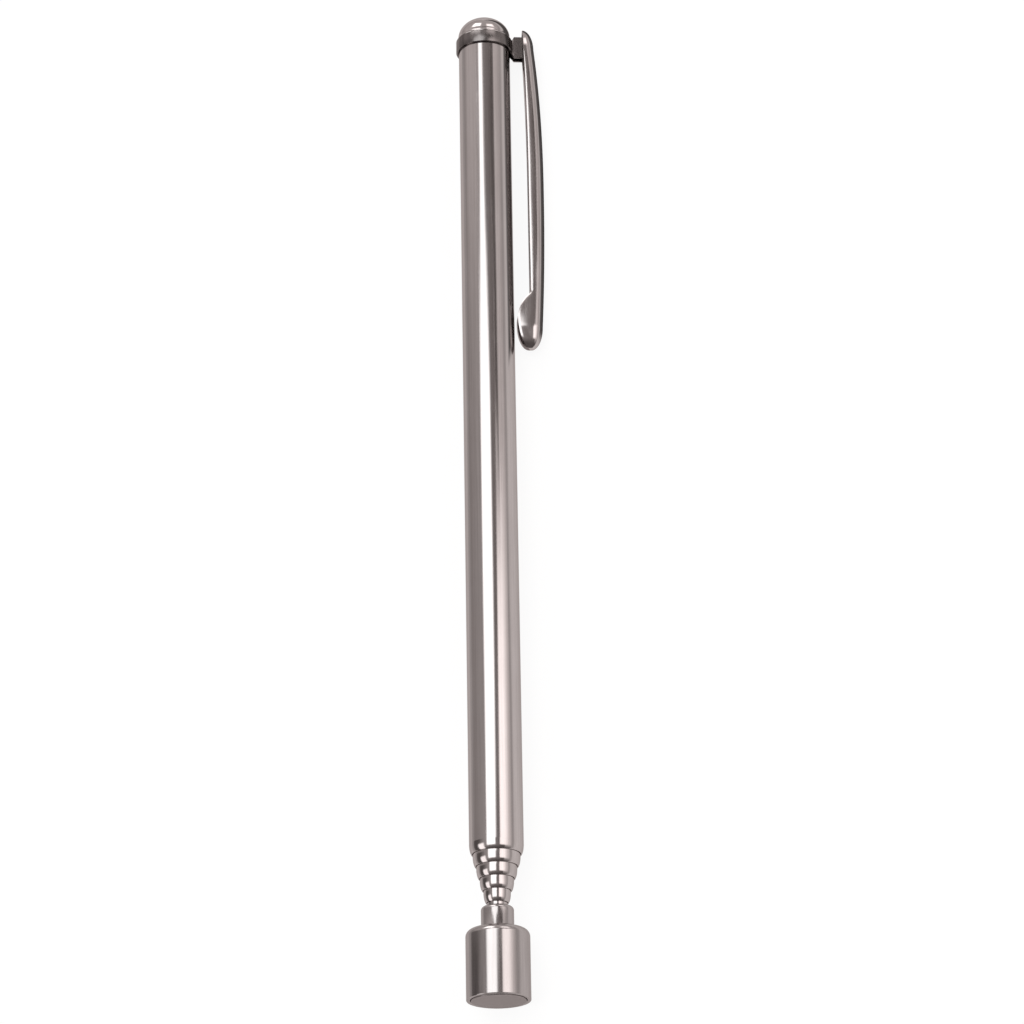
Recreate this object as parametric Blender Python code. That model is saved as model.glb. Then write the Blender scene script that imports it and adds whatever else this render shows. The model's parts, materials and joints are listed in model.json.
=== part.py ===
"""Telescopic magnetic pickup tool with a pocket clip, closed and lying on a surface.

Metres, +Z up. The origin is the centre of the magnet's working face and +Y runs along the tool to its cap.
Every piece is a child of the empty tool_axis, whose own Z runs along the tool, so in this file a "height"
is a distance from the magnet's face. The tool is rolled about that axis until its clip rests on the surface
that its head lies on.
"""

import math

import bmesh
import bpy

# Barrel and telescoping sections
BARREL_DIAMETER = 0.0068
BARREL_LENGTH = 0.1129
TUBE_WALL = 0.00025
GRIP_SPACE = 0.000175  # between a section and the bore around it, for the friction shells
SECTION_COUNT = 5
NOSE_STEP = 0.00155  # how far each tube's nose stands out of the next one
NOSE_LENGTH = 0.0013  # of the rolled-in end
NOSE_SWEEP = 60  # degrees of its rounding, which stops short of a full quarter
NOSE_LIP = 0.00011  # flat rim left at the end of a nose
MOUTH_LENGTH = 0.001  # of the narrowed bore behind a nose
MOUTH_CLEARANCE = 0.00004

# Section tails: flare, friction shells and the bead that holds them
FLARE_LENGTH = 0.0008
FLARE_BEVEL = 0.00015
TAIL_GAP = 0.0003  # between the tails and the cap's spigot
GRIP_LENGTH = 0.007
GRIP_SLIT = math.radians(16)  # between the two half shells
GRIP_PLAY = 0.00005
BEAD_WIDTH = 0.0005
BEAD_HEIGHT = 0.00009
BORE_CLEARANCE = 0.00003
SPIN_CLEARANCE = 0.00002

# Head
HEAD_DIAMETER = 0.008
HEAD_WALL = 0.00052
HEAD_CYLINDER = 0.0081
SHOULDER_LENGTH = 0.0009
RIM_BEVEL = 0.00015
MAGNET_PROUD = 0.0001
MAGNET_LENGTH = 0.005
MAGNET_BEVEL = 0.0001
DISC_THICKNESS = 0.001
PRESS_GAP = 0.00004
NECK_WALL = 0.000775
NECK_LENGTH = 0.00295
NECK_ROUND = 0.0005
NECK_GAP = 0.00045  # between the neck and the nose of the section around the thinnest one
SOCKET_DEPTH = 0.0024

# Cap
CAP_SHEET = 0.0003
CAP_SPIGOT = 0.004
CAP_SEAT_GAP = 0.00002
CAP_LIP_OVERHANG = 0.00015
CAP_LIP_HEIGHT = 0.00025
CAP_OVERHANG = 0.00005
CAP_DOME_HEIGHT = 0.0027

# Collar
COLLAR_SHEET = 0.0003
COLLAR_BAND_HEIGHT = 0.0016
COLLAR_EAR_HEIGHT = 0.0031
COLLAR_EAR_RISE = 0.0006  # of the ears' upper edges above the band's
COLLAR_TOP_GAP = 0.00006  # below the barrel's end
COLLAR_CLEARANCE = 0.00004
COLLAR_BEND = 0.0005
EAR_CLEARANCE = 0.00005

# Clip
CLIP_SHEET = 0.0004
CLIP_HALF_WIDTH = 0.0014
CLIP_LENGTH = 0.0466
CLIP_ABOVE_BARREL = 0.0018
CLIP_BOW_PLACE = 0.0233  # from the clip's upper end to its highest part
CLIP_BOW_POWER = 2.2
CROWN_LENGTH = 0.0029  # of the closed upper end
EDGE_AT_CROWN = 0.0017  # the flanges' edges over the barrel's surface
EDGE_ALONG = 0.00215
FLANGE_AT_CROWN = 0.0001  # the flanges' straight height
FLANGE_ALONG = 0.00065
FLANGE_AT_TIP = 0.00015
LOBE_GAP = 0.0004  # between the lobes' crests and the barrel
LOBE_RADIUS = 0.0044
LOBE_PLACE = 0.0041  # of the crests, from the clip's tip
TIP_LENGTH = 0.0032  # of the closed lower end

# Facets
SIDES = 32
ROUND_STEPS = 4
WELD = 1e-7

# Levels along the tool
HEAD_TOP = HEAD_CYLINDER + SHOULDER_LENGTH
NECK_TOP = HEAD_TOP + NECK_LENGTH
LAST_NOSE = NECK_TOP + NECK_GAP
BARREL_NOSE = LAST_NOSE + (SECTION_COUNT - 1) * NOSE_STEP
BARREL_END = BARREL_NOSE + BARREL_LENGTH
TAILS = BARREL_END - CAP_SPIGOT - TAIL_GAP
CLIP_TOP = BARREL_END + CLIP_ABOVE_BARREL
CLIP_TIP = CLIP_TOP - CLIP_LENGTH
CLIP_HIGHEST = CLIP_TOP - CLIP_BOW_PLACE
CROWN_START = CLIP_TOP - CROWN_LENGTH
TIP_START = CLIP_TIP + TIP_LENGTH
LOBE_CREST = CLIP_TIP + LOBE_PLACE

# Radii
BARREL_RADIUS = BARREL_DIAMETER / 2
HEAD_RADIUS = HEAD_DIAMETER / 2
FACET_SAG = math.cos(math.pi / SIDES)  # a bore's flats stand in by this ratio

CHROME = ("chrome", (0.62, 0.6, 0.6), 0.12, 1.0)
CHROMED_TUBE = ("chromed_tube", (0.66, 0.64, 0.63), 0.16, 1.0)
CLIP_STEEL = ("clip_steel", (0.58, 0.57, 0.57), 0.2, 1.0)
BRONZE = ("phosphor_bronze", (0.72, 0.5, 0.3), 0.35, 1.0)
MAGNET_ALLOY = ("magnet_plating", (0.42, 0.42, 0.43), 0.45, 1.0)
MILD_STEEL = ("mild_steel", (0.4, 0.4, 0.41), 0.5, 1.0)


def clear_scene():
    for old in list(bpy.data.objects):
        bpy.data.objects.remove(old, do_unlink=True)


def material(finish):
    name, colour, roughness, metallic = finish
    if name in bpy.data.materials:
        return bpy.data.materials[name]
    made = bpy.data.materials.new(name)
    made.use_nodes = True
    shader = made.node_tree.nodes["Principled BSDF"]
    shader.inputs["Base Color"].default_value = (*colour, 1.0)
    shader.inputs["Roughness"].default_value = roughness
    shader.inputs["Metallic"].default_value = metallic
    return made


def add_object(name, shape, finish, parent):
    """Turns a bmesh into a named object with smooth rounds, its faces pointing out."""
    bmesh.ops.recalc_face_normals(shape, faces=shape.faces)
    mesh = bpy.data.meshes.new(name)
    shape.to_mesh(mesh)
    shape.free()
    mesh.materials.append(material(finish))
    mesh.shade_smooth()
    mesh.set_sharp_from_angle(angle=math.radians(32))
    made = bpy.data.objects.new(name, mesh)
    bpy.context.scene.collection.objects.link(made)
    made.parent = parent
    return made


def arc(centre, radii, start, end, steps):
    """Points (radius, height) of an elliptical arc, with its angles in degrees from the outward direction."""
    points = []
    for step in range(steps + 1):
        angle = math.radians(start + (end - start) * step / steps)
        out = centre[0] + radii[0] * math.cos(angle)
        up = centre[1] + radii[1] * math.sin(angle)
        points.append((out, up))
    return points


def turned(name, outline, finish, parent):
    """Spins an outline of (radius, height) points about Z. It closes on itself, or on the axis."""
    shape = bmesh.new()
    corners = [shape.verts.new((radius, 0, height)) for radius, height in outline]
    edges = []
    for here, there in zip(corners, corners[1:] + corners[:1]):
        if here.co.x > WELD or there.co.x > WELD:
            edges.append(shape.edges.new((here, there)))
    axis = {"cent": (0, 0, 0), "axis": (0, 0, 1)}
    bmesh.ops.spin(shape, geom=corners + edges, angle=math.tau, steps=SIDES, use_merge=True, **axis)
    bmesh.ops.remove_doubles(shape, verts=shape.verts, dist=WELD)
    return add_object(name, shape, finish, parent)


def tube_radius(number):
    """Outer radius of tube 0, the barrel, and of each section inside it."""
    return BARREL_RADIUS - number * (TUBE_WALL + GRIP_SPACE)


def nose_height(number):
    return BARREL_NOSE - number * NOSE_STEP


def guide_radius(number):
    """Radius of what runs in tube number's bore and clears the bore's flats."""
    return (tube_radius(number) - TUBE_WALL) * FACET_SAG - BORE_CLEARANCE


def rolled_nose(number):
    """Outline of a tube's front end, from the step inside its mouth round to its outer surface."""
    outside = tube_radius(number)
    mouth = tube_radius(number + 1) + MOUTH_CLEARANCE
    bore = outside - TUBE_WALL
    front = nose_height(number)
    rim = mouth + NOSE_LIP
    sweep = math.radians(NOSE_SWEEP)
    radii = ((outside - rim) / (1 - math.cos(sweep)), NOSE_LENGTH / math.sin(sweep))
    bend = arc((outside - radii[0], front + NOSE_LENGTH), radii, -NOSE_SWEEP, 0, ROUND_STEPS)
    return [(bore, front + MOUTH_LENGTH), (mouth, front + MOUTH_LENGTH), (mouth, front), *bend]


def make_barrel(parent):
    bore = BARREL_RADIUS - TUBE_WALL
    outline = rolled_nose(0) + [(BARREL_RADIUS, BARREL_END), (bore, BARREL_END)]
    return turned("outer_tube", outline, CHROMED_TUBE, parent)


def grip_heights():
    """Lower and upper end of the friction shells, the same for each section when the tool is closed."""
    upper = TAILS - FLARE_LENGTH - GRIP_PLAY
    return upper - GRIP_LENGTH, upper


def make_section(number, parent):
    outside = tube_radius(number)
    bore = outside - TUBE_WALL
    flare = guide_radius(number - 1)
    flare_start = TAILS - FLARE_LENGTH
    bead_end = grip_heights()[0] - GRIP_PLAY
    bead_middle = bead_end - BEAD_WIDTH / 2
    if number < SECTION_COUNT:
        front = rolled_nose(number)
    else:
        socket_end = NECK_TOP - SOCKET_DEPTH
        front = [(bore, socket_end), (outside, socket_end)]
    bead = [
        (outside, bead_end - BEAD_WIDTH),
        (outside + BEAD_HEIGHT, bead_middle - BEAD_WIDTH / 5),
        (outside + BEAD_HEIGHT, bead_middle + BEAD_WIDTH / 5),
        (outside, bead_end),
    ]
    tail = [
        (outside, flare_start),
        (flare, flare_start),
        (flare, TAILS - FLARE_BEVEL),
        (flare - FLARE_BEVEL, TAILS),
        (bore, TAILS),
    ]
    return turned(f"section_{number}", front + bead + tail, CHROMED_TUBE, parent)


def make_grip(number, side, parent):
    """One of the two springy half shells between a section and the bore around it."""
    inner = tube_radius(number) / FACET_SAG + SPIN_CLEARANCE
    outer = guide_radius(number - 1)
    lower, upper = grip_heights()
    shape = bmesh.new()
    corners = []
    for place in ((inner, 0, lower), (outer, 0, lower), (outer, 0, upper), (inner, 0, upper)):
        corners.append(shape.verts.new(place))
    edges = [shape.edges.new(ends) for ends in zip(corners, corners[1:] + corners[:1])]
    axis = {"cent": (0, 0, 0), "axis": (0, 0, 1)}
    bmesh.ops.spin(shape, geom=corners + edges, angle=math.pi - GRIP_SLIT, steps=SIDES // 2, **axis)
    bmesh.ops.holes_fill(shape, edges=shape.edges, sides=len(corners))
    made = add_object(f"grip_shell_{number}_{side}", shape, BRONZE, parent)
    made.rotation_euler.z = GRIP_SLIT / 2 + (math.pi if side == "b" else 0)
    return made


def make_head(parent):
    """Magnet housing, magnet and backing disc."""
    pocket = HEAD_RADIUS - HEAD_WALL
    floor = MAGNET_LENGTH + DISC_THICKNESS + 3 * PRESS_GAP
    neck = tube_radius(SECTION_COUNT) + NECK_WALL
    socket = tube_radius(SECTION_COUNT) + PRESS_GAP
    socket_floor = NECK_TOP - SOCKET_DEPTH - PRESS_GAP
    shoulder_radii = (SHOULDER_LENGTH, SHOULDER_LENGTH)
    shoulder = arc((HEAD_RADIUS - SHOULDER_LENGTH, HEAD_CYLINDER), shoulder_radii, 0, 90, ROUND_STEPS)
    neck_radii = (NECK_ROUND, NECK_ROUND)
    neck_round = arc((neck - NECK_ROUND, NECK_TOP - NECK_ROUND), neck_radii, 0, 90, ROUND_STEPS)
    outline = [
        (0, floor),
        (pocket, floor),
        (pocket, MAGNET_PROUD),
        (HEAD_RADIUS - RIM_BEVEL, MAGNET_PROUD),
        (HEAD_RADIUS, MAGNET_PROUD + RIM_BEVEL),
        *shoulder,
        (neck, HEAD_TOP),
        *neck_round,
        (socket, NECK_TOP),
        (socket, socket_floor),
        (0, socket_floor),
    ]
    turned("magnet_housing", outline, CHROME, parent)

    core = pocket - PRESS_GAP
    magnet = [
        (0, 0),
        (core - MAGNET_BEVEL, 0),
        (core, MAGNET_BEVEL),
        (core, MAGNET_LENGTH),
        (0, MAGNET_LENGTH),
    ]
    turned("magnet", magnet, MAGNET_ALLOY, parent)
    low = MAGNET_LENGTH + PRESS_GAP
    disc = [(0, low), (core, low), (core, low + DISC_THICKNESS), (0, low + DISC_THICKNESS)]
    turned("backing_disc", disc, MILD_STEEL, parent)


def make_cap(parent):
    """Pressed cup: a spigot open to the barrel, a lip that seats on the barrel's end, and a dome."""
    spigot = (BARREL_RADIUS - TUBE_WALL) * FACET_SAG - PRESS_GAP / 2
    seat = BARREL_END + CAP_SEAT_GAP
    lip_top = seat + CAP_LIP_HEIGHT
    dome = BARREL_RADIUS + CAP_OVERHANG
    widest = lip_top + CAP_LIP_HEIGHT
    outside = arc((0, widest), (dome, CAP_DOME_HEIGHT), 0, 90, 3 * ROUND_STEPS)
    inside = arc((0, widest), (spigot - CAP_SHEET, CAP_DOME_HEIGHT - CAP_SHEET), 90, 0, 3 * ROUND_STEPS)
    lip_radii = (CAP_LIP_OVERHANG - CAP_OVERHANG, CAP_LIP_HEIGHT / 2)
    lip = arc((dome, (seat + lip_top) / 2), lip_radii, -90, 90, ROUND_STEPS)
    foot = BARREL_END - CAP_SPIGOT
    outline = [*inside, (spigot - CAP_SHEET, foot), (spigot, foot), (spigot, seat), *lip, *outside]
    return turned("end_cap", outline, CHROME, parent)


def closing(share):
    """Size ratio of the clip's section, share 0 to 1 of the way along a closed end."""
    return math.sqrt(max(0.0, 1 - share * share))


def collar_tops():
    """Heights of the upper edges of the collar's band and of its ears."""
    band_top = BARREL_END - COLLAR_TOP_GAP
    return band_top, band_top + COLLAR_EAR_RISE


def clip_pivot():
    """Place where the clip bends: the middle of its channel, halfway along the collar's ears."""
    radius = BARREL_RADIUS + EDGE_AT_CROWN + FLANGE_AT_CROWN
    return radius, collar_tops()[1] - COLLAR_EAR_HEIGHT / 2


def collar_half():
    """Points (x, y, lower edge, upper edge) along half the collar, from its ear to its far side."""
    band = BARREL_RADIUS + COLLAR_CLEARANCE + COLLAR_SHEET / 2
    top_band, top_ear = collar_tops()
    crown_share = (top_ear - CROWN_START) / (CROWN_LENGTH - CLIP_SHEET)
    channel = (CLIP_HALF_WIDTH - CLIP_SHEET) * closing(crown_share)
    ear = channel - EAR_CLEARANCE - COLLAR_SHEET / 2
    bend_x = math.sqrt((band + COLLAR_BEND) ** 2 - (ear + COLLAR_BEND) ** 2)
    bend_y = ear + COLLAR_BEND
    meet = math.atan2(bend_y, bend_x)
    low_ear = top_ear - COLLAR_EAR_HEIGHT
    low_band = top_band - COLLAR_BAND_HEIGHT

    half = [(clip_pivot()[0], ear, low_ear, top_ear), (bend_x, ear, low_ear, top_ear)]
    for step in range(1, ROUND_STEPS + 1):
        share = step / ROUND_STEPS
        angle = 1.5 * math.pi - share * (math.pi / 2 - meet)
        x = bend_x + COLLAR_BEND * math.cos(angle)
        y = bend_y + COLLAR_BEND * math.sin(angle)
        low = low_ear + (low_band - low_ear) * share
        top = max(top_band, top_ear - 2 * COLLAR_EAR_RISE * share)
        half.append((x, y, low, top))
    turns = SIDES // 2
    for step in range(1, turns + 1):
        angle = meet + (math.pi - meet) * step / turns
        half.append((band * math.cos(angle), band * math.sin(angle), low_band, top_band))
    return half


def make_collar(parent):
    """Strap bent round the barrel, its two ends turned out as ears inside the clip's channel."""
    half = collar_half()
    path = half + [(x, -y, low, top) for x, y, low, top in reversed(half[:-1])]
    shape = bmesh.new()
    rails = []
    for x, y, low, top in path:
        rails.append((shape.verts.new((x, y, low)), shape.verts.new((x, y, top))))
    for (low_a, top_a), (low_b, top_b) in zip(rails, rails[1:]):
        shape.faces.new((low_a, low_b, top_b, top_a))
    made = add_object("clip_collar", shape, CHROME, parent)
    sheet = made.modifiers.new("sheet", "SOLIDIFY")
    sheet.thickness = COLLAR_SHEET
    sheet.offset = 0
    sheet.use_even_offset = True
    return made


def along_bow(height, at_crown, highest, at_tip):
    """A size that changes smoothly along the clip, from its closed ends to its highest part."""
    if height > CLIP_HIGHEST:
        share = min(1, (height - CLIP_HIGHEST) / (CROWN_START - CLIP_HIGHEST))
        return highest + (at_crown - highest) * share**CLIP_BOW_POWER
    share = min(1, (CLIP_HIGHEST - height) / (CLIP_HIGHEST - TIP_START))
    return highest + (at_tip - highest) * share**CLIP_BOW_POWER


def flange_edge(height, sheet):
    """Distance of the flanges' edges from the tool's axis, lobes included."""
    line = BARREL_RADIUS + along_bow(height, EDGE_AT_CROWN, EDGE_ALONG, EDGE_ALONG)
    crest = BARREL_RADIUS + LOBE_GAP
    if height < LOBE_CREST:
        share = (LOBE_CREST - height) / (LOBE_PLACE - sheet)
        return line - (line - crest) * closing(share)
    if height - LOBE_CREST < LOBE_RADIUS:
        round_edge = crest + LOBE_RADIUS - math.sqrt(LOBE_RADIUS**2 - (height - LOBE_CREST) ** 2)
        return min(line, round_edge)
    return line


def clip_station(height, sheet, size):
    """Points (x, y, height) across the clip's channel, its skin moved in by sheet and closed down by size."""
    edge = flange_edge(height, sheet)
    line = BARREL_RADIUS + along_bow(height, EDGE_AT_CROWN, EDGE_ALONG, EDGE_ALONG)
    flange = along_bow(height, FLANGE_AT_CROWN, FLANGE_ALONG, FLANGE_AT_TIP)
    half_width = (CLIP_HALF_WIDTH - sheet) * size
    middle = line + flange * size
    across = [(edge, half_width)]
    across += arc((middle, 0), (half_width, half_width), 90, -90, 2 * ROUND_STEPS)
    across += [(edge, -half_width)]
    return [(x, y, height) for x, y in across]


def clip_skin(sheet):
    """Stations of the clip's outer skin (sheet 0) or its inner one, from the upper end to the tip."""
    stations = []
    for step in range(ROUND_STEPS + 1):
        share = math.cos(math.pi / 2 * step / ROUND_STEPS)
        height = CROWN_START + (CROWN_LENGTH - sheet) * share
        stations.append(clip_station(height, sheet, closing(share)))
    lobe_reach = EDGE_ALONG - LOBE_GAP
    lobe_start = LOBE_CREST + math.sqrt(lobe_reach * (2 * LOBE_RADIUS - lobe_reach))
    runs = ((CROWN_START, lobe_start, 2 * ROUND_STEPS), (lobe_start, TIP_START, ROUND_STEPS))
    for start, end, steps in runs:
        for step in range(1, steps + 1):
            stations.append(clip_station(start + (end - start) * step / steps, sheet, 1))
    for step in range(1, ROUND_STEPS + 1):
        share = math.sin(math.pi / 2 * step / ROUND_STEPS)
        height = TIP_START - (TIP_LENGTH - sheet) * share
        stations.append(clip_station(height, sheet, closing(share)))
    return stations


def make_clip(parent):
    """Pressed U channel open to the barrel, closed at both ends, with two lobes that grip the pocket."""
    radius, height = clip_pivot()
    pivot = bpy.data.objects.new("clip_pivot", None)
    pivot.empty_display_size = CLIP_HALF_WIDTH
    pivot.location = (radius, 0, height)
    pivot.parent = parent
    bpy.context.scene.collection.objects.link(pivot)

    shape = bmesh.new()
    skins = []
    for sheet in (0, CLIP_SHEET):
        rows = []
        for station in clip_skin(sheet):
            rows.append([shape.verts.new((x - radius, y, z - height)) for x, y, z in station])
        skins.append(rows)
    for rows in skins:
        for here, there in zip(rows, rows[1:]):
            for i in range(len(here) - 1):
                shape.faces.new((here[i], here[i + 1], there[i + 1], there[i]))
    outer, inner = skins
    for side in (0, -1):
        for i in range(len(outer) - 1):
            shape.faces.new((outer[i][side], outer[i + 1][side], inner[i + 1][side], inner[i][side]))
    bmesh.ops.remove_doubles(shape, verts=shape.verts, dist=WELD)
    return add_object("clip_blade", shape, CLIP_STEEL, pivot)


def main():
    clear_scene()
    clip_middle = BARREL_RADIUS + EDGE_ALONG + FLANGE_ALONG
    roll = math.asin((HEAD_RADIUS - CLIP_HALF_WIDTH) / clip_middle)
    tool_axis = bpy.data.objects.new("tool_axis", None)
    tool_axis.empty_display_size = HEAD_RADIUS
    tool_axis.rotation_euler = (-math.pi / 2, roll, 0)
    bpy.context.scene.collection.objects.link(tool_axis)

    make_barrel(tool_axis)
    make_cap(tool_axis)
    make_collar(tool_axis)
    make_clip(tool_axis)
    for number in range(1, SECTION_COUNT + 1):
        make_section(number, tool_axis)
        for side in ("a", "b"):
            make_grip(number, side, tool_axis)
    make_head(tool_axis)


main()
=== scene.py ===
import json
import math

import bpy
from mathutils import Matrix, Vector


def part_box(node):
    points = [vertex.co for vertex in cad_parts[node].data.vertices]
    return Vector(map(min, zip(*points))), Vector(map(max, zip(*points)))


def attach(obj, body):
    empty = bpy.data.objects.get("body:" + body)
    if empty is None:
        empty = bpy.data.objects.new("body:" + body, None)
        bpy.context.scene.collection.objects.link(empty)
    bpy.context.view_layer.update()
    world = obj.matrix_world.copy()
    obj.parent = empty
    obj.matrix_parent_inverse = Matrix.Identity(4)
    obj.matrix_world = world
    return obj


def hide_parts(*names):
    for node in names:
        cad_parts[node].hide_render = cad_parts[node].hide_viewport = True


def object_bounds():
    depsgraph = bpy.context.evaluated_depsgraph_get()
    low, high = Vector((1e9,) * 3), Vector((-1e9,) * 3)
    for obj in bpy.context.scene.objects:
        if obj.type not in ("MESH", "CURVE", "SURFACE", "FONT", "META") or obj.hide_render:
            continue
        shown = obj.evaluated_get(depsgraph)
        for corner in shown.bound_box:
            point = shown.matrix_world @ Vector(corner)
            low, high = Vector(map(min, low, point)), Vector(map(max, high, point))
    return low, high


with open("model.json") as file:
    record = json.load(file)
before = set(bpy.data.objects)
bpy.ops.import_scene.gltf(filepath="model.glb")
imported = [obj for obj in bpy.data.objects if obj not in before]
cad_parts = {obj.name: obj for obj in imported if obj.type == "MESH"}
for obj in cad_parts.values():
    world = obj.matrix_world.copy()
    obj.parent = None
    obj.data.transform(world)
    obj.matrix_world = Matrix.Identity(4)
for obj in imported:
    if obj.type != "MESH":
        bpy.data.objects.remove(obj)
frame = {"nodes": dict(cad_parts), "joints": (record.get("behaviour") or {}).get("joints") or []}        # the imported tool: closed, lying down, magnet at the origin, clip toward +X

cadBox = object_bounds()
mergeDistance = 1e-6
print("frame loaded:", len(frame["nodes"]), "nodes")


# Small helpers for shaping.

def clearSelection():
    if bpy.context.mode != "OBJECT":
        bpy.ops.object.mode_set(mode="OBJECT")
    bpy.ops.object.select_all(action="DESELECT")


def namePiece(name):
    piece = bpy.context.object
    piece.name = name
    piece.data.name = name
    bpy.ops.object.transform_apply(location=True, rotation=True, scale=True)
    return piece


def radiusNear(node, low, high):  # how wide a round node gets between two places along the tool
    points = [v.co for v in frame["nodes"][node].data.vertices]
    return max(math.hypot(p.x, p.z) for p in points if low <= p.y <= high)


def arcRings(centre, radii, start, end, steps):  # rings (place, radius) round an elliptical arc, in degrees
    rings = []
    for step in range(steps + 1):
        angle = math.radians(start + (end - start) * step / steps)
        rings.append((centre[0] + radii[0] * math.sin(angle), centre[1] + radii[1] * math.cos(angle)))
    return rings


def pickPoints(piece, test):  # selects the points that pass the test, in edit mode
    bpy.ops.mesh.select_mode(type="VERT")
    bpy.ops.mesh.select_all(action="DESELECT")
    bpy.ops.object.mode_set(mode="OBJECT")
    for point in piece.data.vertices:
        point.select = test(point.co)
    bpy.ops.object.mode_set(mode="EDIT")


def turnRings(name, rings, sides, capStart=False, capEnd=False):  # rings are (place, radius) along the tool
    clearSelection()
    place, radius = rings[0]
    bpy.ops.mesh.primitive_circle_add(
        vertices=sides, radius=radius, location=(0, place, 0), rotation=(math.pi / 2, 0, 0))
    piece = namePiece(name)
    bpy.ops.object.mode_set(mode="EDIT")
    bpy.ops.mesh.select_all(action="SELECT")
    if capStart:
        bpy.ops.mesh.edge_face_add()
        bpy.ops.mesh.poke()
        pickPoints(piece, lambda at: math.hypot(at.x, at.z) > radius / 2)
    for nextPlace, nextRadius in rings[1:]:
        grow = nextRadius / radius
        bpy.ops.mesh.extrude_edges_move(TRANSFORM_OT_translate={"value": (0, nextPlace - place, 0)})
        bpy.ops.transform.resize(value=(grow, 1, grow), center_override=(0, nextPlace, 0))
        place, radius = nextPlace, nextRadius
    if capEnd:
        bpy.ops.mesh.edge_face_add()
        bpy.ops.mesh.poke()
    bpy.ops.mesh.select_all(action="SELECT")
    bpy.ops.mesh.remove_doubles(threshold=mergeDistance)
    bpy.ops.mesh.normals_make_consistent(inside=False)
    bpy.ops.object.mode_set(mode="OBJECT")
    return piece


def softenEdges(piece, width, segments=3, fromAngle=35):
    rounding = piece.modifiers.new("rounding", "BEVEL")
    rounding.width = width
    rounding.segments = segments
    rounding.limit_method = "ANGLE"
    rounding.angle_limit = math.radians(fromAngle)
    bpy.ops.object.modifier_apply(modifier=rounding.name)


def finishPiece(piece, body, material, node, smoothAngle=30):
    clearSelection()
    piece.select_set(True)
    bpy.context.view_layer.objects.active = piece
    bpy.ops.object.shade_smooth_by_angle(angle=math.radians(smoothAngle))
    evener = piece.modifiers.new("evener", "WEIGHTED_NORMAL")  # keeps the long faces straight in reflections
    evener.keep_sharp = True
    bpy.ops.object.modifier_apply(modifier=evener.name)
    piece.data.materials.clear()
    piece.data.materials.append(material)
    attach(piece, body)
    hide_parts(node)


# A wire is a shader socket that can be added, multiplied and so on.

class Wire:
    def __init__(self, tree, socket=None):
        self.tree = tree
        self.socket = socket

    def node(self, kind, settings, sockets, output=0):
        made = self.tree.nodes.new(kind)
        for name, value in settings.items():
            if name == "stops":
                setStops(made.color_ramp, value)
            else:
                setattr(made, name, value)
        for name, value in sockets.items():
            if isinstance(value, Wire):
                self.tree.links.new(value.socket, made.inputs[name])
            else:
                made.inputs[name].default_value = value
        return Wire(self.tree, made.outputs[output])

    def sum(self, operation, first, second=0.0):
        return self.node("ShaderNodeMath", {"operation": operation}, {0: first, 1: second})

    def __add__(self, other):
        return self.sum("ADD", self, other)

    __radd__ = __add__

    def __sub__(self, other):
        return self.sum("SUBTRACT", self, other)

    def __rsub__(self, other):
        return self.sum("SUBTRACT", other, self)

    def __mul__(self, other):
        return self.sum("MULTIPLY", self, other)

    __rmul__ = __mul__

    def parts(self, vector):  # a vector's three numbers
        made = self.tree.nodes.new("ShaderNodeSeparateXYZ")
        self.tree.links.new(vector.socket, made.inputs[0])
        return [Wire(self.tree, socket) for socket in made.outputs]

    def step(self, low, high):  # 0 below low, 1 above high, and smooth between
        settings = {"interpolation_type": "SMOOTHSTEP"}
        return self.node("ShaderNodeMapRange", settings, {"Value": self, "From Min": low, "From Max": high})

    def tint(self, dark, bright):  # a colour between two, by this wire
        settings = {"data_type": "RGBA", "clamp_factor": True}
        return self.node("ShaderNodeMix", settings, {0: self, 6: dark, 7: bright}, output=2)


def setStops(ramp, stops):
    while len(ramp.elements) < len(stops):
        ramp.elements.new(0.5)
    for element, (place, colour) in zip(ramp.elements, stops):
        element.position = place
        element.color = colour


def grey(level, warmth=0.0):  # a grey that leans a little to red
    return (level * (1 + warmth), level, level * (1 - warmth * 0.2), 1.0)


def newMaterial(name):
    made = bpy.data.materials.new(name)
    made.use_nodes = True
    return made, made.node_tree.nodes["Principled BSDF"], Wire(made.node_tree)


def objectPlace(wire, scale):  # the piece's own coordinates, stretched
    place = wire.node("ShaderNodeTexCoord", {}, {}, output="Object")
    return wire.node("ShaderNodeMapping", {}, {"Vector": place, "Scale": scale})


def noise(wire, scale, detail=3.0, rough=0.55):
    sockets = {"Vector": objectPlace(wire, scale), "Scale": 1.0, "Detail": detail, "Roughness": rough}
    return wire.node("ShaderNodeTexNoise", {}, sockets)


def connect(wire, target, shader, name):
    wire.tree.links.new(target.socket, shader.inputs[name])


platingWear = {
    "lineShade": (0.3, 0.7),  # each pair says where the noise starts and ends to count
    "lineShare": 0.7,
    "markShade": (0.35, 0.7),
    "markShare": 0.3,
    "lineDull": (0.35, 0.75),
    "worn": (0.55, 0.8),
    "markDepth": 0.4,
    "bumpDepth": 1e-5,
}


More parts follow.
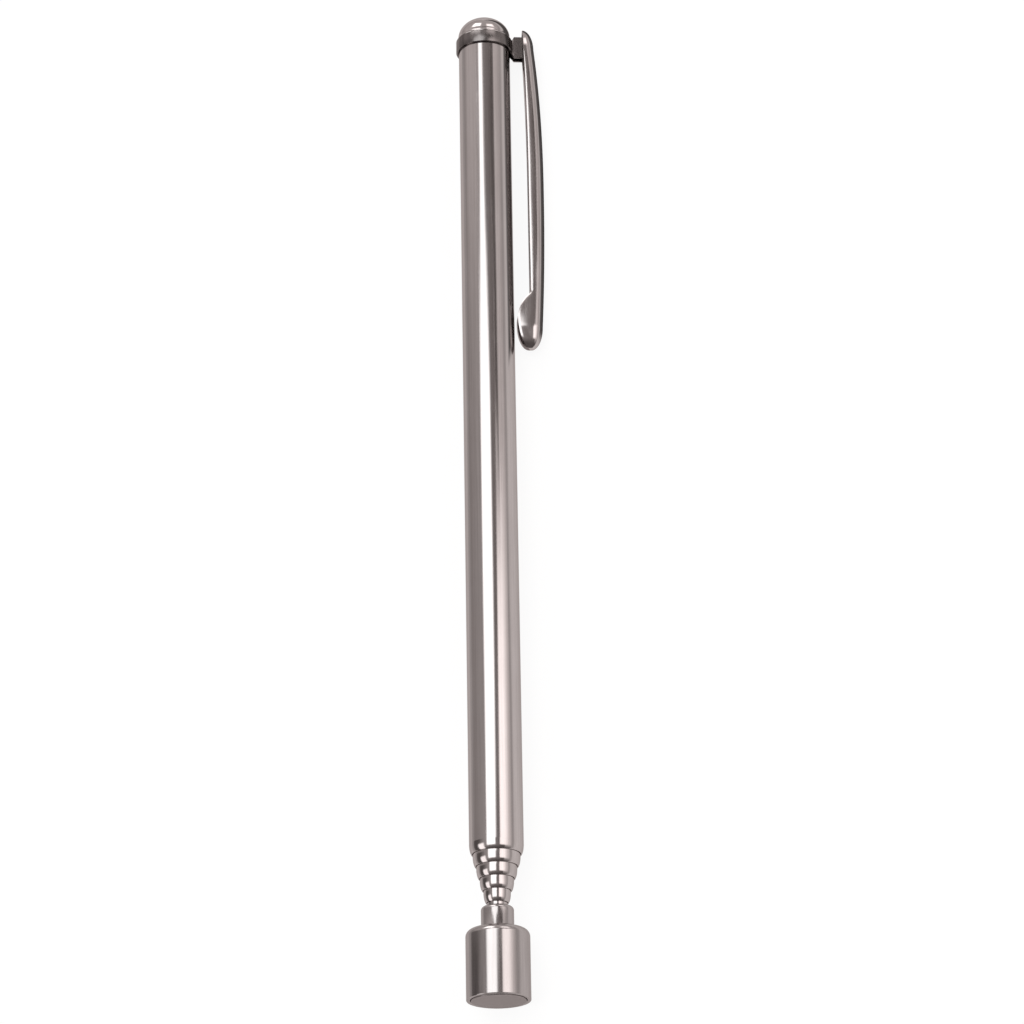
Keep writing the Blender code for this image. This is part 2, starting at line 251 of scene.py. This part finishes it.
# Chrome or nickel over metal, with fine lines along the tool and faint handling marks.
def platedMetal(name, look):
    w = platingWear
    made, shader, wire = newMaterial(name)
    lines = noise(wire, look["lineScale"], detail=4.0, rough=0.6)
    marks = noise(wire, look["markScale"], detail=5.0, rough=0.65)
    worn = marks.step(*w["worn"])
    shade = lines.step(*w["lineShade"]) * w["lineShare"] + marks.step(*w["markShade"]) * w["markShare"]
    connect(wire, shade.tint(look["dark"], look["bright"]), shader, "Base Color")
    rough = lines.step(*w["lineDull"]) * look["lineRough"] + worn * look["markRough"] + look["rough"]
    connect(wire, rough, shader, "Roughness")
    bump = wire.node("ShaderNodeBump", {}, {
        "Strength": look["bump"], "Distance": w["bumpDepth"], "Height": lines + marks * w["markDepth"]})
    connect(wire, bump, shader, "Normal")
    shader.inputs["Metallic"].default_value = 1.0
    shader.inputs["Specular Tint"].default_value = grey(look["rim"], 0.03)
    return made


tubeLook = {
    "dark": grey(0.42, 0.06),
    "bright": grey(0.5, 0.05),
    "rough": 0.07,
    "lineRough": 0.06,
    "markRough": 0.05,
    "bump": 0.12,
    "rim": 0.62,  # how bright it gets seen nearly edge on
    "lineScale": (5200, 45, 5200),
    "markScale": (420, 160, 420),
}
polishedLook = dict(tubeLook, rough=0.06, bump=0.06, lineScale=(2600, 120, 2600))
headLook = dict(polishedLook, dark=grey(0.36, 0.06), bright=grey(0.42, 0.05), rough=0.11)
# a much darker copy of the polished chrome for the collar: painted shade, standing in for the dark its flat
# ears reflect
paintedShadeStrapLook = dict(polishedLook, dark=grey(0.13, 0.08), bright=grey(0.2, 0.08), rough=0.2)
clipLook = dict(tubeLook, rough=0.1, bump=0.1, lineScale=(3600, 90, 3600))
faceLook = dict(tubeLook, dark=grey(0.27, 0.08), bright=grey(0.32, 0.08), rough=0.3)
faceLook["lineScale"] = (2400, 2400, 2400)
bronzeLook = dict(tubeLook, dark=(0.45, 0.26, 0.13, 1), bright=(0.72, 0.47, 0.26, 1))
bronzeLook["rough"] = 0.25
discLook = dict(faceLook, dark=grey(0.25), bright=grey(0.38), rough=0.38)

chromedTube = platedMetal("chromedTube", tubeLook)
polishedChrome = platedMetal("polishedChrome", polishedLook)
headChrome = platedMetal("headChrome", headLook)
paintedShadeStrapChrome = platedMetal("paintedShadeStrapChrome", paintedShadeStrapLook)
clipSteel = platedMetal("clipSteel", clipLook)
magnetPlate = platedMetal("magnetPlate", faceLook)
springBronze = platedMetal("springBronze", bronzeLook)
turnedSteel = platedMetal("turnedSteel", discLook)
print("finishes made")


# The barrel and the five sections, turned as rings round the tool's axis.

tubeSizes = {
    "wall": 0.00025,
    "noseLength": 0.0013,
    "noseSweep": 60,  # degrees
    "noseLip": 0.00011,
    "mouthLength": 0.001,
    "mouthGap": 0.00004,
    "beadHeight": 0.00009,
    "beadWidth": 0.0005,
    "beadFromTail": 0.0084,
    "flareLength": 0.0008,
    "edge": 0.00003,
    "sections": 5,
    "barrelSides": 192,
    "sectionSides": 160,
    "noseSteps": 14,
    "beadSteps": 8,
}


def tubeRadius(node):
    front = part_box(node)[0].y
    return radiusNear(node, front, front + 2 * tubeSizes["mouthLength"])


def noseRings(radius, innerRadius, front):  # from the bore's step, round the rolled lip, to the outer wall
    t = tubeSizes
    mouth = innerRadius + t["mouthGap"]
    lip = mouth + t["noseLip"]
    behind = front + t["mouthLength"]
    rings = [(behind, radius - t["wall"]), (behind, mouth), (front, mouth)]
    sweep = math.radians(t["noseSweep"])
    along = t["noseLength"] / math.sin(sweep)
    inward = (radius - lip) / (1 - math.cos(sweep))
    centre = (front + t["noseLength"], radius - inward)
    rings += arcRings(centre, (along, inward), -t["noseSweep"], 0, t["noseSteps"])
    return rings


def makeBarrel():
    radius = tubeRadius("outer_tube")
    low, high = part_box("outer_tube")
    rings = noseRings(radius, tubeRadius("section_1"), low.y)
    rings += [(high.y, radius), (high.y, radius - tubeSizes["wall"])]
    piece = turnRings("barrelShell", rings + rings[:1], tubeSizes["barrelSides"])
    softenEdges(piece, tubeSizes["edge"])
    finishPiece(piece, "barrel", chromedTube, "outer_tube")


def makeSection(number):
    t = tubeSizes
    node = "section_%d" % number
    radius = tubeRadius(node)
    low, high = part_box(node)
    flare = radiusNear(node, high.y - t["flareLength"], high.y)
    if number < t["sections"]:
        rings = noseRings(radius, tubeRadius("section_%d" % (number + 1)), low.y)
    else:
        rings = [(low.y, radius - t["wall"]), (low.y, radius)]
    halfBead = t["beadWidth"] / 2
    beadCentre = (high.y - t["beadFromTail"] + halfBead, radius)
    rings += arcRings(beadCentre, (halfBead, t["beadHeight"]), -90, 90, t["beadSteps"])
    rings += [(high.y - t["flareLength"], radius), (high.y - t["flareLength"], flare)]
    rings += [(high.y, flare), (high.y, radius - t["wall"])]
    piece = turnRings("telescopeSection%d" % number, rings + rings[:1], t["sectionSides"])
    softenEdges(piece, t["edge"])
    finishPiece(piece, "stage_%d" % number, chromedTube, node)


makeBarrel()
for number in range(1, tubeSizes["sections"] + 1):
    makeSection(number)
print("barrel and sections turned")


# The head: a housing and the magnet in its open end.

headSizes = {
    "wall": 0.00052,
    "cylinder": 0.0081,
    "shoulder": 0.0009,
    "neckWall": 0.000775,
    "neckRound": 0.0005,
    "pocketDepth": 0.00612,
    "socketDepth": 0.00244,
    "pressGap": 0.00004,
    "rimEdge": 0.00012,
    "magnetEdge": 0.0001,
    "housingSides": 192,
    "magnetSides": 128,
    "shoulderSteps": 10,
    "neckSteps": 8,
}


def makeHousing():
    h = headSizes
    low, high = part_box("magnet_housing")
    radius = radiusNear("magnet_housing", low.y, h["cylinder"])
    stem = tubeRadius("section_5")
    neck = stem + h["neckWall"]
    socket = stem + h["pressGap"]
    socketFloor = high.y - h["socketDepth"]
    pocket = radius - h["wall"]
    shoulder = h["shoulder"]
    neckRound = h["neckRound"]
    rings = [(h["pocketDepth"], pocket * 0.5), (h["pocketDepth"], pocket), (low.y, pocket), (low.y, radius)]
    shoulderCentre = (h["cylinder"], radius - shoulder)
    rings += arcRings(shoulderCentre, (shoulder, shoulder), 0, 90, h["shoulderSteps"])
    rings += [(h["cylinder"] + shoulder, neck)]
    neckCentre = (high.y - neckRound, neck - neckRound)
    rings += arcRings(neckCentre, (neckRound, neckRound), 0, 90, h["neckSteps"])
    rings += [(high.y, socket), (socketFloor, socket), (socketFloor, socket * 0.5)]
    piece = turnRings("magnetHousing", rings, h["housingSides"], capStart=True, capEnd=True)
    softenEdges(piece, h["rimEdge"])
    finishPiece(piece, "stage_5", headChrome, "magnet_housing")


def makeMagnet():
    low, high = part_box("magnet")
    radius = radiusNear("magnet", low.y, high.y)
    rings = [(low.y, radius * 0.5), (low.y, radius), (high.y, radius), (high.y, radius * 0.5)]
    piece = turnRings("magnetSlug", rings, headSizes["magnetSides"], capStart=True, capEnd=True)
    softenEdges(piece, headSizes["magnetEdge"])
    finishPiece(piece, "stage_5", magnetPlate, "magnet")


makeHousing()
makeMagnet()
print("head turned")


# The end cap: a domed cup whose spigot plugs the barrel.

capSizes = {
    "sheet": 0.0003,
    "lipHeight": 0.00025,
    "lipOut": 0.0001,
    "domeHeight": 0.0027,
    "overBarrel": 0.00005,
    "seatGap": 0.00002,
    "edge": 0.00004,
    "sides": 192,
    "crownAngle": 88,  # degrees up the dome, where a small flat middle closes it
    "innerSteps": 16,
    "domeSteps": 32,
    "lipSteps": 10,
}


def makeCap():
    c = capSizes
    low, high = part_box("end_cap")
    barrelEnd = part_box("outer_tube")[1].y
    spigot = radiusNear("end_cap", low.y, barrelEnd - c["seatGap"])
    dome = tubeRadius("outer_tube") + c["overBarrel"]
    seat = barrelEnd + c["seatGap"]
    widest = high.y - c["domeHeight"]
    inner = spigot - c["sheet"]
    halfLip = c["lipHeight"] / 2
    rings = arcRings((widest, 0), (c["domeHeight"] - c["sheet"], inner), c["crownAngle"], 0, c["innerSteps"])
    rings += [(low.y, inner), (low.y, spigot), (seat, spigot)]
    rings += arcRings((seat + halfLip, dome), (halfLip, c["lipOut"]), -90, 90, c["lipSteps"])
    rings += arcRings((widest, 0), (c["domeHeight"], dome), 0, c["crownAngle"], c["domeSteps"])
    piece = turnRings("endCapDome", rings, c["sides"], capStart=True, capEnd=True)
    softenEdges(piece, c["edge"])
    finishPiece(piece, "barrel", polishedChrome, "end_cap", smoothAngle=40)


makeCap()
print("cap turned")


# The collar: a strip bent round the barrel, its ends turned out as ears for the clip.

clipJoint = [j for j in frame["joints"] if j["name"] == "clip_flex"][0]
clipRoll = math.atan2(clipJoint["axis"][0], clipJoint["axis"][2])  # the clip points this far below +X
pivotRadius = math.hypot(clipJoint["pos_m"][0], clipJoint["pos_m"][2])

collarSizes = {
    "sheet": 0.0003,
    "bandHeight": 0.0016,
    "earRise": 0.0006,  # of the ears above the band
    "clearance": 0.00004,
    "bend": 0.0005,
    "earOut": 0.000555,
    "bendSteps": 10,
    "bandSteps": 90,
    "edge": 0.00006,
}


def rollPiece(piece):  # turns a piece made with the clip side at +X into its place round the tool
    clearSelection()
    piece.select_set(True)
    bpy.context.view_layer.objects.active = piece
    piece.rotation_euler = (0, clipRoll, 0)
    bpy.ops.object.transform_apply(location=False, rotation=True, scale=False)


def collarPath():  # (x, z, height share) from the ear's root round one half of the barrel
    c = collarSizes
    band = tubeRadius("outer_tube") + c["clearance"] + c["sheet"] / 2
    bendX = math.sqrt((band + c["bend"]) ** 2 - (c["earOut"] + c["bend"]) ** 2)
    bendZ = c["earOut"] + c["bend"]
    meet = math.atan2(bendZ, bendX)
    path = [(bendX, c["earOut"], 0)]
    for step in range(1, c["bendSteps"] + 1):
        share = step / c["bendSteps"]
        angle = 1.5 * math.pi - share * (math.pi / 2 - meet)
        path.append((bendX + c["bend"] * math.cos(angle), bendZ + c["bend"] * math.sin(angle), share))
    for step in range(1, c["bandSteps"] + 1):
        angle = meet + (math.pi - meet) * step / c["bandSteps"]
        path.append((band * math.cos(angle), band * math.sin(angle), 1))
    return path


def makeCollar():
    c = collarSizes
    low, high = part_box("clip_collar")
    path = collarPath()
    earHeight = high.y - low.y
    earLength = pivotRadius - path[0][0]
    clearSelection()
    bpy.ops.mesh.primitive_plane_add(
        size=1, location=(path[0][0] + earLength / 2, (low.y + high.y) / 2, c["earOut"]))
    bpy.context.object.scale = (earLength, earHeight, 1)
    piece = namePiece("clipCollar")
    bpy.ops.object.mode_set(mode="EDIT")
    pickPoints(piece, lambda at: at.x < path[0][0] + earLength / 2)
    bandTop = high.y - c["earRise"]
    middle = (low.y + high.y) / 2
    tall = earHeight
    for here, there in zip(path, path[1:]):
        share = there[2]
        top = max(bandTop, high.y - 2 * c["earRise"] * share)
        under = low.y + (bandTop - c["bandHeight"] - low.y) * share
        move = (there[0] - here[0], (top + under) / 2 - middle, there[1] - here[1])
        bpy.ops.mesh.extrude_edges_move(TRANSFORM_OT_translate={"value": move})
        middle = (top + under) / 2
        grow = (top - under) / tall
        bpy.ops.transform.resize(value=(1, grow, 1), center_override=(there[0], middle, there[1]))
        tall = top - under
    bpy.ops.object.mode_set(mode="OBJECT")
    mirror = piece.modifiers.new("otherHalf", "MIRROR")
    mirror.use_axis = (False, False, True)
    mirror.merge_threshold = mergeDistance
    bpy.ops.object.modifier_apply(modifier=mirror.name)
    bpy.ops.object.mode_set(mode="EDIT")
    bpy.ops.mesh.select_all(action="SELECT")
    bpy.ops.mesh.normals_make_consistent(inside=False)
    bpy.ops.object.mode_set(mode="OBJECT")
    sheet = piece.modifiers.new("sheet", "SOLIDIFY")
    sheet.thickness = c["sheet"]
    sheet.offset = 0
    sheet.use_even_offset = True
    bpy.ops.object.modifier_apply(modifier=sheet.name)
    softenEdges(piece, c["edge"])
    rollPiece(piece)
    # the collar takes the darkened chrome, painted shade for its ears
    finishPiece(piece, "barrel", paintedShadeStrapChrome, "clip_collar")


makeCollar()
print("collar bent")


# The clip: a channel pressed from sheet, closed at the crown and the tip.

clipSizes = {
    "sheet": 0.0004,
    "halfWidth": 0.0014,
    "bowPlace": 0.0233,
    "bowPower": 2.2,
    "crownLength": 0.0029,
    "edgeHeights": (0.0017, 0.00215, 0.00215),  # over the barrel: at the crown, along the blade, at the tip
    "flanges": (0.0001, 0.00065, 0.00015),
    "rimWidth": 0.00032,
    "rimTilt": 0.00006,
    "lobeGap": 0.0004,
    "lobeFillet": 0.00025,
    "lobeRadius": 0.0044,
    "lobePlace": 0.0041,
    "tipLength": 0.0032,
    "roundSteps": 28,
    "crownSteps": 14,
    "bladeSteps": 40,
    "lobeSteps": 24,
    "tipSteps": 24,
    "edge": 0.00016,
}
clipLow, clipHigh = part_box("clip_blade")


def alongBow(place, sizes):  # a size that changes smoothly between the crown, the bow's top and the tip
    c = clipSizes
    top = clipHigh.y - c["bowPlace"]
    crown = clipHigh.y - c["crownLength"]
    tip = clipLow.y + c["tipLength"]
    if place > top:
        share = min(1, (place - top) / (crown - top))
        return sizes[1] + (sizes[0] - sizes[1]) * share ** c["bowPower"]
    share = min(1, (top - place) / (top - tip))
    return sizes[1] + (sizes[2] - sizes[1]) * share ** c["bowPower"]


def lobeEdge(place, line, barrel):  # how near the flange's edge comes to the tool's axis
    c = clipSizes
    crest = clipLow.y + c["lobePlace"]
    nearest = barrel + c["lobeGap"]
    if place < crest:
        share = min(1, (crest - place) / c["lobePlace"])
        return line - (line - nearest) * math.sqrt(1 - share * share)
    if place - crest >= c["lobeRadius"]:
        return line
    roundEdge = nearest + c["lobeRadius"] - math.sqrt(c["lobeRadius"] ** 2 - (place - crest) ** 2)
    soft = c["lobeFillet"]  # the press leaves a small fillet where the lobe leaves the straight edge
    blend = max(0, soft - abs(line - roundEdge)) / soft
    return min(line, roundEdge) - blend * blend * soft / 4


def clipStations():  # (place, closing size) along the blade, from its closed crown to its closed tip
    c = clipSizes
    crown = clipHigh.y - c["crownLength"]
    tip = clipLow.y + c["tipLength"]
    lobeTop = clipLow.y + c["lobePlace"] + c["lobeRadius"]
    stations = []
    for step in range(1, c["crownSteps"] + 1):
        angle = math.pi / 2 * step / c["crownSteps"]
        stations.append((crown + c["crownLength"] * math.cos(angle), math.sin(angle)))
    for step in range(1, c["bladeSteps"] + 1):
        stations.append((crown + (lobeTop - crown) * step / c["bladeSteps"], 1))
    for step in range(1, c["lobeSteps"] + 1):
        stations.append((lobeTop + (tip - lobeTop) * step / c["lobeSteps"], 1))
    for step in range(1, c["tipSteps"]):
        angle = math.pi / 2 * step / c["tipSteps"]
        stations.append((tip - c["tipLength"] * math.sin(angle), math.cos(angle)))
    return stations


def makeClip():
    c = clipSizes
    barrel = tubeRadius("outer_tube")
    stations = clipStations()
    place, size = stations[0]
    line = barrel + alongBow(place, c["edgeHeights"])
    flange = alongBow(place, c["flanges"])
    clearSelection()
    bpy.ops.mesh.primitive_circle_add(
        vertices=2 * c["roundSteps"], radius=c["halfWidth"], location=(line + flange, place, 0),
        rotation=(math.pi / 2, 0, 0))
    piece = namePiece("clipBlade")
    bpy.ops.object.mode_set(mode="EDIT")
    pickPoints(piece, lambda at: at.x < line + flange - mergeDistance)
    bpy.ops.mesh.delete(type="VERT")
    pickPoints(piece, lambda at: abs(at.z) > c["halfWidth"] - mergeDistance)
    bpy.ops.mesh.extrude_vertices_move(TRANSFORM_OT_translate={"value": (-flange * 0.5, 0, 0)})
    bpy.ops.mesh.extrude_vertices_move(TRANSFORM_OT_translate={"value": (-flange * 0.5, 0, 0)})
    bpy.ops.mesh.select_all(action="SELECT")
    bpy.ops.transform.resize(value=(size, 1, size), center_override=(line, place, 0))
    bpy.ops.object.mode_set(mode="OBJECT")

    start = [(p.co.x, p.co.z) for p in piece.data.vertices]
    count = len(start)
    isEdge = [abs(x - line) < mergeDistance * size for x, z in start]
    isRim = [abs(x - line - flange * size * 0.5) < mergeDistance * size for x, z in start]
    around = [((x - line - flange * size) / size, z / size) for x, z in start]
    bpy.ops.object.mode_set(mode="EDIT")
    bpy.ops.mesh.select_all(action="SELECT")
    for here, there in zip(stations, stations[1:]):
        bpy.ops.mesh.extrude_edges_move(TRANSFORM_OT_translate={"value": (0, there[0] - here[0], 0)})
    bpy.ops.object.mode_set(mode="OBJECT")
    for row, (place, size) in enumerate(stations):  # each row of the channel takes its width, height and lobe
        line = barrel + alongBow(place, c["edgeHeights"])
        middle = line + alongBow(place, c["flanges"]) * size
        edge = lobeEdge(place, line, barrel)
        for i, point in enumerate(list(piece.data.vertices)[row * count:(row + 1) * count]):
            point.co.z = around[i][1] * size
            point.co.x = edge if isEdge[i] else middle + around[i][0] * size
            if isEdge[i]:
                point.co.z -= math.copysign(c["rimTilt"] * size, point.co.z)
            if isRim[i]:
                point.co.x = edge + min(c["rimWidth"], (middle - edge) * 0.5)
    closeClip(piece, stations, barrel)
    finishPiece(piece, "clip", clipSteel, "clip_blade", smoothAngle=40)


def closeClip(piece, stations, barrel):
    c = clipSizes
    bpy.ops.object.mode_set(mode="EDIT")
    for end, place in ((stations[0][0], clipHigh.y), (stations[-1][0], clipLow.y)):
        line = barrel + alongBow(place, c["edgeHeights"])
        pickPoints(piece, lambda at: abs(at.y - end) < mergeDistance)
        bpy.ops.mesh.extrude_edges_move(TRANSFORM_OT_translate={"value": (0, place - end, 0)})
        bpy.ops.transform.resize(value=(0, 1, 0), center_override=(line, place, 0))
    bpy.ops.mesh.select_all(action="SELECT")
    bpy.ops.mesh.remove_doubles(threshold=mergeDistance)
    bpy.ops.mesh.normals_make_consistent(inside=False)
    bpy.ops.object.mode_set(mode="OBJECT")
    sheet = piece.modifiers.new("sheet", "SOLIDIFY")
    sheet.thickness = c["sheet"]
    sheet.offset = -1
    sheet.use_even_offset = True
    bpy.ops.object.modifier_apply(modifier=sheet.name)
    softenEdges(piece, c["edge"], segments=4, fromAngle=50)
    rollPiece(piece)


makeClip()
print("clip pressed")


# The friction shells and the backing disc keep their own shape and get a finish.

for node, obj in frame["nodes"].items():
    if node.startswith("grip_shell"):
        finish = springBronze
    elif node == "backing_disc":
        finish = turnedSteel
    else:
        continue
    obj.data.materials.clear()
    obj.data.materials.append(finish)
print("inner nodes finished")


# Floor, studio light and camera.

cameraSetup = {
    "place": (0.16716, -0.11959, 0.4459),
    "turn": (20.741, 20.587, -0.992),  # degrees
    "lens": 140.34,
    "sensor": 36,
    "nearest": 0.01,
    "farthest": 50,
}
floorSetup = {
    "size": 6.0,
    "glow": 0.91,
    "colour": 0.11,
    "near": 0.74,  # how bright the tool sees it, beside the tool and far from it
    "nearWarmth": 0.08,
    "far": 0.42,
    "farWarmth": 0.1,
    "nearReach": 0.012,
    "farReach": 0.05,
    "clipPaintedShade": 0.035,  # painted shade: a dark patch in the floor's glow under the clip, which only reflections show
    "clipWarmth": 0.15,
    "clipSide": (0.0035, 0.004, 0.0098, 0.0165),
    "clipAlong": (0.087, 0.09),
    "mottleScale": (9, 9, 9),
    "mottle": 0.98,
    "rough": 0.9,
}


def window(wire, stops):  # 0 outside the first and last stop, 1 between the middle two
    return wire.step(stops[0], stops[1]) * (1 - wire.step(stops[2], stops[3]))


def makeFloor():
    clearSelection()
    bpy.ops.mesh.primitive_plane_add(size=floorSetup["size"], location=(0, 0, cadBox[0][2]))
    floor = namePiece("studioFloor")
    f = floorSetup
    made, shader, wire = newMaterial("paleFloor")
    mottle = noise(wire, f["mottleScale"], detail=2.0)
    connect(wire, mottle.tint(grey(f["colour"] * f["mottle"]), grey(f["colour"])), shader, "Base Color")
    place = wire.node("ShaderNodeTexCoord", {}, {}, output="Object")
    side, along = wire.parts(place)[:2]
    fade = wire.sum("ABSOLUTE", side).step(f["nearReach"], f["farReach"])
    # painted shade under the clip: the floor glows darker there, and only reflections show it
    shade = window(side, f["clipSide"]) * along.step(*f["clipAlong"])
    tool = fade.tint(grey(f["near"], f["nearWarmth"]), grey(f["far"], f["farWarmth"]))
    tool = shade.tint(tool, grey(f["clipPaintedShade"], f["clipWarmth"]))
    seen = wire.node("ShaderNodeLightPath", {}, {}, output="Is Camera Ray")
    connect(wire, seen.tint(tool, grey(f["glow"])), shader, "Emission Color")
    shader.inputs["Roughness"].default_value = f["rough"]
    shader.inputs["Emission Strength"].default_value = 1.0
    shader.inputs["Specular IOR Level"].default_value = 0.0
    floor.data.materials.append(made)


studioSetup = {
    "lean": 20.5,  # degrees from +Z toward +X: the middle of the lights, seen along the tool
    "backdrop": 0.985,  # what the camera sees behind the floor
    # ambience round the tool's axis: (degrees from the middle, level, warmth)
    "ambience": [(-180, 0.5, 0.08), (-112, 0.45, 0.08), (-97, 0.36, 0.12), (-81, 0.4, 0.11), (-54, 0.45, 0.1),
                 (-20, 0.4, 0.1), (3, 0.3, 0.12), (17, 0.23, 0.14), (30, 0.15, 0.16), (36, 0.15, 0.14),
                 (41, 0.74, 0.1), (54, 0.7, 0.1), (68, 0.56, 0.1), (90, 0.5, 0.1), (180, 0.5, 0.08)],
    "slantFrom": 0.27,  # the reach from which a slanted light leans
    # lights and screens: (start, full, fading, gone) in degrees round the axis, then along it (toward +Y)
    "boxes": [
        # upper left
        {"turn": (-112, -82, -50, -20), "reach": (0.37, 0.47, 0.9, 1.0),
         "level": 0.66, "warmth": 0.1},
        # above the cap
        {"turn": (-200, -190, 190, 200), "reach": (0.5, 0.6, 1.1, 1.2),
         "level": 0.6, "warmth": 0.1},
        # head screen
        {"turn": (-120, -98, -86, -50), "reach": (-1.2, -1.1, 0.262, 0.275),
         "level": 0.12, "warmth": 0.14},
        # front screen
        {"turn": (-130, -110, 110, 130), "reach": (-1.2, -1.1, -0.65, -0.15),
         "level": 0.12, "warmth": 0.15},
        # right far
        {"turn": (12, 19, 46, 72), "reach": (-0.3, -0.14, 0.33, 0.39), "slant": 80,
         "level": 1.1, "warmth": 0.1},
        # right
        {"turn": (12, 19, 33, 56), "reach": (-0.3, -0.14, 0.32, 0.38), "slant": 80,
         "level": 2.05, "warmth": 0.08},
        # side
        {"turn": (-88, -78, -60, -50), "reach": (-0.75, -0.6, -0.05, 0.08),
         "level": 1.9, "warmth": 0.06},
        # cap left
        {"turn": (-66, -52, -24, -10), "reach": (0.56, 0.66, 0.85, 0.92),
         "level": 3.2, "warmth": 0.03},
        # cap right
        {"turn": (8, 20, 42, 54), "reach": (0.52, 0.6, 0.76, 0.84),
         "level": 2.2, "warmth": 0.08},
    ],
    # the main light is widest beside the middle of the tool and shrinks toward the cap
    "main": {"middle": (-22.5, -19.0), "half": (18.0, 21.5, 8.0), "widen": (0.25, 0.33),
             "shrink": (0.385, 0.445), "blur": 4.5, "reach": (-0.3, -0.14, 0.48, 0.51), "level": 2.5},
}


def makeStudio():
    s = studioSetup
    world = bpy.data.worlds.new("softStudio")
    bpy.context.scene.world = world
    world.use_nodes = True
    tree = world.node_tree
    tree.nodes.clear()
    wire = Wire(tree)
    heading = wire.node("ShaderNodeTexCoord", {}, {}, output="Generated")
    sockets = {"Vector": heading, "Angle": math.radians(-s["lean"])}
    turned = wire.node("ShaderNodeVectorRotate", {"rotation_type": "Y_AXIS"}, sockets)
    right, reach, up = wire.parts(turned)
    turn = wire.sum("ARCTAN2", right, up) * (180 / math.pi)

    stops = [((degrees + 180) / 360, grey(level, warmth)) for degrees, level, warmth in s["ambience"]]
    sky = wire.node("ShaderNodeValToRGB", {"stops": stops}, {"Fac": turn * (1 / 360) + 0.5})
    for box in s["boxes"]:
        moved = turn - (wire.sum("MAXIMUM", reach, s["slantFrom"]) - s["slantFrom"]) * box.get("slant", 0)
        mask = window(moved, box["turn"]) * window(reach, box["reach"])
        sky = mask.tint(sky, grey(box["level"], box["warmth"]))
    m = s["main"]
    wider = reach.step(*m["widen"])
    half = wider * (m["half"][1] - m["half"][0]) + m["half"][0]
    half = half - reach.step(*m["shrink"]) * (m["half"][1] - m["half"][2])
    middle = wider * (m["middle"][1] - m["middle"][0]) + m["middle"][0]
    beyond = wire.sum("ABSOLUTE", turn - middle) - half
    mask = (1 - beyond.step(-m["blur"], m["blur"])) * window(reach, m["reach"])
    sky = mask.tint(sky, grey(m["level"]))
    seen = wire.node("ShaderNodeLightPath", {}, {}, output="Is Camera Ray")
    shown = seen.tint(sky, grey(s["backdrop"]))
    light = wire.node("ShaderNodeBackground", {}, {"Color": shown, "Strength": 1.0})
    end = tree.nodes.new("ShaderNodeOutputWorld")
    tree.links.new(light.socket, end.inputs["Surface"])


def makeCamera():
    lens = bpy.data.cameras.new("studioCamera")
    lens.lens = cameraSetup["lens"]
    lens.sensor_width = cameraSetup["sensor"]
    lens.clip_start = cameraSetup["nearest"]
    lens.clip_end = cameraSetup["farthest"]
    camera = bpy.data.objects.new("studioCamera", lens)
    camera.location = cameraSetup["place"]
    camera.rotation_euler = [math.radians(angle) for angle in cameraSetup["turn"]]
    bpy.context.scene.collection.objects.link(camera)
    bpy.context.scene.camera = camera


makeFloor()
makeStudio()
makeCamera()
bpy.context.scene.view_settings.view_transform = "Standard"
print("studio ready")
